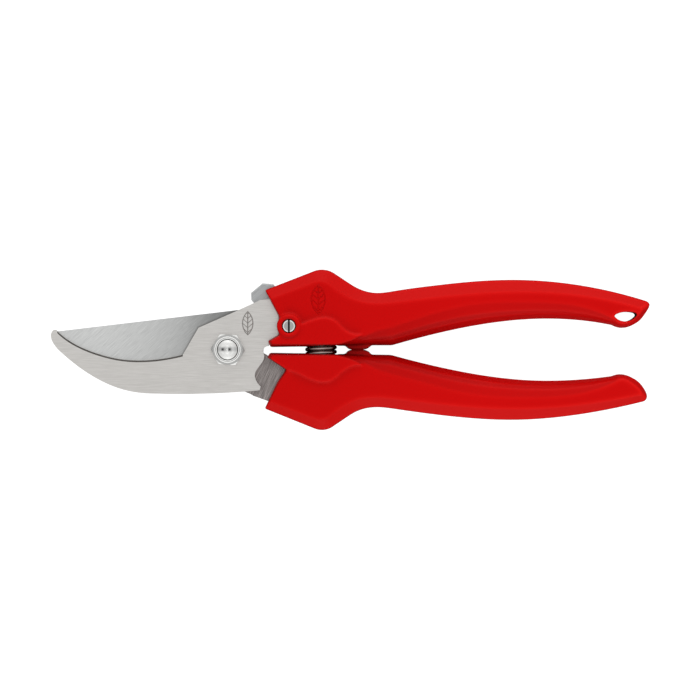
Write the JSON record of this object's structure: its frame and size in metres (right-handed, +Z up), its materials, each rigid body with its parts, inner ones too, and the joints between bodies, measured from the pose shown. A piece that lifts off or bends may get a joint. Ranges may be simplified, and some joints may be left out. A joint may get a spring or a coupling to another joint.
{
  "type": "bypass pruner",
  "caption": "Light bypass pruner with hooked counter blade, curved cutting blade, two moulded handles, return spring, stop bumpers and swinging safety catch.",
  "frame": {"origin": "centre of the footprint, on the surface that the closed pruner lies on", "axes": "+X from the blade tips towards the handle ends, +Z up through the nut side, away from the surface"},
  "size_m": [0.1856, 0.0497, 0.0144],
  "materials": {
    "blade_steel": "ground and brushed stainless steel",
    "handle_plastic": "satin red moulded plastic",
    "bolt_steel": "bright nickel plated",
    "spring_steel": "dark oiled spring steel",
    "catch_steel": "stamped sheet steel"
  },
  "bodies": {
    "upper_half": {"counter_blade": "blade_steel", "upper_handle": "handle_plastic", "pivot_bolt": "bolt_steel", "pivot_nut": "bolt_steel", "pivot_washer": "bolt_steel", "return_spring": "spring_steel", "catch_screw": "bolt_steel", "catch_nut": "bolt_steel", "catch_washer": "spring_steel"},
    "lower_half": {"cutting_blade": "blade_steel", "lower_handle": "handle_plastic"},
    "catch": {"safety_catch": "catch_steel"}
  },
  "joints": [
    {"name": "blade_pivot", "type": "hinge", "parent": "upper_half", "child": "lower_half", "pos_m": [-0.0379, 0.0001, 0.007], "axis": [0, 0, -1], "range_deg": [0, 30], "stiffness_Nm_per_rad": 1.2, "springref_deg": 45.84, "deforming": ["return_spring"]},
    {"name": "catch_swing", "type": "hinge", "parent": "upper_half", "child": "catch", "pos_m": [-0.0189, 0.0074, 0.007], "axis": [0, 0, -1], "range_deg": [0, 25]}
  ]
}
